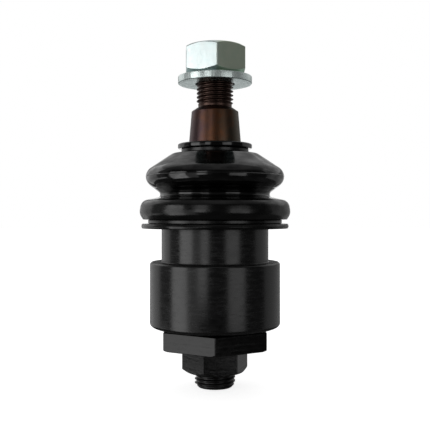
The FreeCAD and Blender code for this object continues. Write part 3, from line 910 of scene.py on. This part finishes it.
revolve(mesh, outline + outline[:1], even_angles(BARREL_STEPS))
dress(finished("housing_turned", mesh), "housing", "housing")

# %% [markdown]
# ## End cap
# The cap screws into the barrel and has a 38 mm hexagon to turn it by, one corner to the front. Its
# corners are turned off a little above and more below. A neck between hexagon and barrel carries the
# seal ring, and inside, the adjusting screw runs in its floor.

# %% End cap
cap_low, cap_high = span("end_cap")
CAP_FLATS = 38.0
CAP_CORNER = -90.0
CAP_LOWER_EDGE = 21.2
CAP_UPPER_EDGE = 21.7
CAP_SLOPE = 1.0
CAP_FLOOR = -22.4
CAP_HOLLOW_R = 15.1
CAP_THREAD_R = 18.0
CAP_THREAD_STARTS = housing_low + LEAD_IN
CAP_CHAMFER = 0.3
SEAL_NECK_R = 17.0
SEAL_GAP = 1.0
HOLE_CHAMFER = 0.8
SCREW_R = 7.7
SCREW_HOLE_R = SCREW_R + 0.05
hex_top = housing_low - SEAL_GAP
mesh = bmesh.new()
inside_low = rounded([
    (SCREW_HOLE_R, CAP_FLOOR, 0), (SCREW_HOLE_R, cap_low + HOLE_CHAMFER, 0),
    (SCREW_HOLE_R + HOLE_CHAMFER, cap_low, 0)])
neck_of_cap = rounded([
    (SEAL_NECK_R, hex_top, 0), (SEAL_NECK_R, housing_low, 0.3), (CAP_THREAD_R, CAP_THREAD_STARTS, 0.1),
    (CAP_THREAD_R, cap_high - CAP_CHAMFER, 0), (CAP_THREAD_R - CAP_CHAMFER, cap_high, 0),
    (CAP_HOLLOW_R, cap_high, 0), (CAP_HOLLOW_R, CAP_FLOOR, 0.5), (SCREW_HOLE_R, CAP_FLOOR, 0)])
flanks = hex_rows(CAP_FLATS, cap_low, hex_top, CAP_CORNER, CAP_LOWER_EDGE, CAP_UPPER_EDGE, CAP_SLOPE)
revolve(mesh, inside_low + flanks + neck_of_cap, hex_angles(CAP_CORNER))
dress(finished("cap_hexagon", mesh, 30), "end_cap", "housing")

# %% [markdown]
# ## Stud nut and jam nut
# Both are plain hexagon nuts with all their corners turned off, and the stud's nut stands on a round
# bearing face. The hole of each is cut with the thread of its screw, a little wider. The jam nut gets
# more play, because it is only turned here, and a real one would also climb by a quarter of a
# millimetre.

# %% Nuts
STUD_R = 7.0
stud_low, stud_high = span("ball_stud")
screw_low, screw_high = span("adjuster_screw")
STUD_THREAD_LOW = 59.5
NUT_FLATS = 22.0
NUT_EDGE = NUT_FLATS / 2 * 0.955
FACE_R = NUT_FLATS / 2 * 0.9
FACE_H = 0.6
COUNTERSINK = 0.9
NUT_SLOPE = math.tan(math.radians(30))
NUT_CORNER = -86.7
JAM_NUT_CORNER = -49.5
NUT_PLAY = 0.1
JAM_NUT_PLAY = 0.6


def threaded_nut(name, node_name, body, corner, crest, datum, play, face_r, face_h):
    """A hexagon nut on a thread of this crest radius and datum height, on a round bearing face."""
    low, high = span(node_name)
    mouth = crest + COUNTERSINK

    def hole(height, depth):
        cut = crest + play - THREAD_DEPTH * (1 - depth)
        return max(cut, mouth - min(height - low, high - height))

    mesh = bmesh.new()
    angles = hex_angles(corner)
    wind(mesh, low, high, datum, hole, angles)
    face = rounded([(face_r, low, 0.1), (face_r, low + face_h, 0)]) if face_h else []
    flanks = hex_rows(NUT_FLATS, low + face_h, high, corner, face_r, NUT_EDGE, NUT_SLOPE)
    revolve(mesh, [(mouth, low)] + face + flanks + [(mouth, high)], angles)
    dress(finished(name, mesh, 30), node_name, body)


threaded_nut("nut_on_stud", "stud_nut", "nut", NUT_CORNER, STUD_R, STUD_THREAD_LOW, NUT_PLAY,
             FACE_R, FACE_H)
threaded_nut("nut_on_screw", "jam_nut", "locknut", JAM_NUT_CORNER, SCREW_R, screw_low, JAM_NUT_PLAY,
             NUT_EDGE, 0)

# %% [markdown]
# ## Washer
# A punched washer: rims slightly rounded, bore a little wider than the stud. It belongs to the same
# plated slot as the nut, and wears the zinc of a sheared piece, whose faces carry painted shade.

# %% Washer
washer_low, washer_high = span("stud_washer")
WASHER_R = 14.1
WASHER_HOLE_R = 7.5
WASHER_STEPS = 160
washer_middle = (washer_low + washer_high) / 2
mesh = bmesh.new()
outline = rounded([
    (WASHER_HOLE_R, washer_middle, 0),
    (WASHER_HOLE_R, washer_low, 0.15),
    (WASHER_R, washer_low, 0.3),
    (WASHER_R, washer_high, 0.3),
    (WASHER_HOLE_R, washer_high, 0.3),
    (WASHER_HOLE_R, washer_middle, 0),
])
revolve(mesh, outline, even_angles(WASHER_STEPS))
washer = finished("washer_plated", mesh)
dress(washer, "stud_washer", "washer")
washer.data.materials[0] = washer_zinc_face_shade

# %% [markdown]
# ## Ball stud
# One forging, turned all over: the ball and its neck are hidden in the boot, then come the boot's
# seat, the taper that sits in the knuckle, an undercut darkened with painted shade and the thread.
# The thread's first groove rises out of the undercut, and its last ridge is cut by the end's chamfer.

# %% Ball stud
BALL_R = 15.0
BALL_CENTRE = 7.0
STUD_NECK_R = 7.25
NECK_FILLET = 2.5
TAPER_LARGE_R = 9.9
TAPER_SMALL_R = 8.9
UNDERCUT_R = 6.4
END_R = 5.8
RUN_IN = 1.0
BALL_STEPS = 48
FILLET_STEPS = 8
STUD_STEPS = 128


def ball_outline():
    """The ball from its flat to where a fillet leads into the neck."""
    across = STUD_NECK_R + NECK_FILLET
    up = math.sqrt((BALL_R + NECK_FILLET) ** 2 - across ** 2)
    low_angle = math.asin((stud_low - BALL_CENTRE) / BALL_R)
    high_angle = math.atan2(up, across)
    points = [(0, stud_low)]
    for step in range(BALL_STEPS + 1):
        angle = low_angle + (high_angle - low_angle) * step / BALL_STEPS
        points.append((BALL_R * math.cos(angle), BALL_CENTRE + BALL_R * math.sin(angle)))
    for step in range(1, FILLET_STEPS + 1):
        angle = high_angle + math.pi - high_angle * step / FILLET_STEPS
        points.append((across + NECK_FILLET * math.cos(angle),
                       BALL_CENTRE + up + NECK_FILLET * math.sin(angle)))
    return points


def stud_thread(height, depth):
    """The thread's radius, run into the undercut below and cut by the chamfer above."""
    full = STUD_R - THREAD_DEPTH * (1 - depth)
    run = UNDERCUT_R + (full - UNDERCUT_R) * share(height, STUD_THREAD_LOW, STUD_THREAD_LOW + RUN_IN)
    return min(run, END_R + stud_high - height)


angles = even_angles(STUD_STEPS)
mesh = bmesh.new()
shank = rounded([
    (STUD_NECK_R, 22.0, 0),
    (STUD_NECK_R, 26.0, 6.0),
    (TAPER_LARGE_R, 36.0, 3.0),
    (TAPER_LARGE_R, 45.0, 0),
    (TAPER_SMALL_R, 57.0, 0.3),
    (UNDERCUT_R, 58.7, 0.3),
    (UNDERCUT_R, STUD_THREAD_LOW, 0),
], 5)
revolve(mesh, ball_outline() + shank, angles)
wind(mesh, STUD_THREAD_LOW, stud_high, STUD_THREAD_LOW, stud_thread, angles)
revolve(mesh, [(END_R, stud_high), (0, stud_high)], angles)
dress(finished("stud_forged", mesh, 50), "ball_stud", "stud")

# %% [markdown]
# ## Adjusting screw
# The screw presses on the plate inside, and only its end shows under the jam nut. Seen from below
# it has a hexagon socket, which a drill has opened first, so the socket's floor is a shallow cone.

# %% Adjusting screw
SOCKET_FLATS = 8.0
DRILL_R = SOCKET_FLATS / 2
SOCKET_FLOOR = screw_low + 7.0
DRILL_POINT = 2.0
SOCKET_CHAMFER_H = 0.62
SOCKET_CHAMFER_R = 0.7
SCREW_SHOULDER = -23.5
CHAMFER_R = SCREW_R - 1.3
THREAD_TOP = SCREW_SHOULDER + 1.0
TIP_R = 5.5
TIP_STARTS = -21.3


def screw_thread(height, depth):
    """The thread's radius between the chamfers at its two ends."""
    full = SCREW_R - THREAD_DEPTH * (1 - depth)
    return min(full, CHAMFER_R + height - screw_low, SCREW_R - max(height - SCREW_SHOULDER, 0))


def socket_row(height, open_by=0.0):
    """A row of the hexagon socket, or of its small chamfer."""
    return lambda angle: (max(hex_radius(SOCKET_FLATS, angle, CAP_CORNER), DRILL_R + open_by), height)


angles = hex_angles(CAP_CORNER)
mesh = bmesh.new()
socket = [(0, SOCKET_FLOOR + DRILL_POINT), (DRILL_R, SOCKET_FLOOR), socket_row(SOCKET_FLOOR),
          socket_row(screw_low + SOCKET_CHAMFER_H), socket_row(screw_low, SOCKET_CHAMFER_R),
          (CHAMFER_R, screw_low)]
revolve(mesh, socket, angles)
wind(mesh, screw_low, THREAD_TOP, screw_low, screw_thread, angles)
tip = rounded([
    (SCREW_R - (THREAD_TOP - SCREW_SHOULDER), THREAD_TOP, 0), (TIP_R, TIP_STARTS, 0.4),
    (TIP_R, screw_high, 0.5), (0, screw_high, 0)])
revolve(mesh, tip, angles)
dress(finished("screw_turned", mesh, 50), "adjuster_screw", "adjuster")

# %% [markdown]
# ## Dust boot
# The boot is one moulding with two folds, a grooved collar on the stud and a grooved foot with a
# bead on the housing. Its outline is given by its corners, from the collar down; the wall inside is
# the same path, moved inwards. It is made in two pieces, a lower one from the housing to just above
# the waist and an upper one from there to the stud. They meet on a straight stretch above the waist,
# where the seam can't be seen. A faint parting line runs round the upper fold, where the mould opens.

# %% Dust boot
COLLAR = [(9.95, 44.7, 0), (14.15, 44.7, 0.6), (14.15, 42.8, 0.5), (12.0, 42.8, 0.2), (12.0, 41.2, 0.2)]
FOLDS = [(14.15, 41.2, 0.7), (16.5, 40.9, 2.0), (29.25, 32.4, 4.1), (19.45, 24.9, 1.1),
         (28.0, 23.0, 3.0), (28.75, 18.2, 3.6), (27.35, 16.0, 0.3)]
FOOT = [(24.6, 16.0, 0.2), (24.6, 14.4, 0.2), (27.7, 14.4, 0.3), (28.0, 13.5, 0.4), (27.7, 12.6, 0.4),
        (20.4, 12.6, 0.3), (20.4, 14.45, 0), (19.1, 14.45, 0.3), (19.1, 16.25, 0.3), (20.4, 16.25, 0),
        (20.4, 18.05, 0)]
WALL = 1.8
COLLAR_END = (9.95, 40.2, 0.5)
SEAM = 27.8
BETWEEN_WALLS_R = 21.7
PARTING_LINE = 32.4
FLASH_PROUD = 0.16
FLASH_HALF = 0.14
ROW_GAP = 0.7
BOOT_STEPS = 192


def moved_inwards(corners, wall):
    """The inner corners of a wall along these outer corners; both ends are left out."""
    moved = []
    for before, here, after in zip(corners, corners[1:], corners[2:]):
        spot_here = Vector(here[:2])
        ways = [(spot_here - Vector(before[:2])).normalized(),
                (Vector(after[:2]) - spot_here).normalized()]
        sides = [Vector((way.y, -way.x)) for way in ways]
        bend = ways[0].x * ways[1].y - ways[0].y * ways[1].x
        inner = spot_here + (sides[0] + sides[1]) * wall / (1 + sides[0].dot(sides[1]))
        moved.append((inner.x, inner.y, max(here[2] + (wall if bend > 0 else -wall), 0.3)))
    return moved


def spaced(points, gap):
    """The same outline with extra points, so that no step is longer than the gap."""
    made = []
    for first, second in zip(points, points[1:]):
        steps = max(1, math.ceil(math.dist(first, second) / gap))
        for step in range(steps):
            part = step / steps
            made.append((first[0] + (second[0] - first[0]) * part,
                         first[1] + (second[1] - first[1]) * part))
    return made + [points[-1]]


def with_flash(points):
    """The same outline with the mould's thin ridge where it crosses the parting line outside."""
    made = [points[0]]
    for first, second in zip(points, points[1:]):
        if first[1] > PARTING_LINE >= second[1] and first[0] > BETWEEN_WALLS_R:
            radius = first[0] + (second[0] - first[0]) * share(PARTING_LINE, first[1], second[1])
            made += [(radius, PARTING_LINE + FLASH_HALF), (radius + FLASH_PROUD, PARTING_LINE),
                     (radius, PARTING_LINE - FLASH_HALF)]
        made.append(second)
    return made


def at_seam(points, inside):
    """Place in the list of the point nearest to the seam, on the outer or the inner wall."""
    found = [(abs(height - SEAM), index) for index, (radius, height) in enumerate(points)
             if (radius < BETWEEN_WALLS_R) == inside]
    return min(found)[1]


inner_wall = moved_inwards(COLLAR[-1:] + FOLDS, WALL)[1:-1]
outline = rounded(COLLAR + FOLDS + FOOT + inner_wall[::-1] + [COLLAR_END, COLLAR[0]])
outline = with_flash(spaced(outline, ROW_GAP))
outer_seam = at_seam(outline, False)
inner_seam = at_seam(outline, True)
angles = even_angles(BOOT_STEPS)
halves = {
    "boot_lower_fold": outline[outer_seam:inner_seam + 1] + [outline[outer_seam]],
    "boot_upper_fold": outline[inner_seam:] + outline[1:outer_seam + 1] + [outline[inner_seam]],
}
for name, points in halves.items():
    mesh = bmesh.new()
    revolve(mesh, points, angles)
    piece = finished(name, mesh, 40)
    dress(piece, "dust_boot")
    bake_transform(piece)
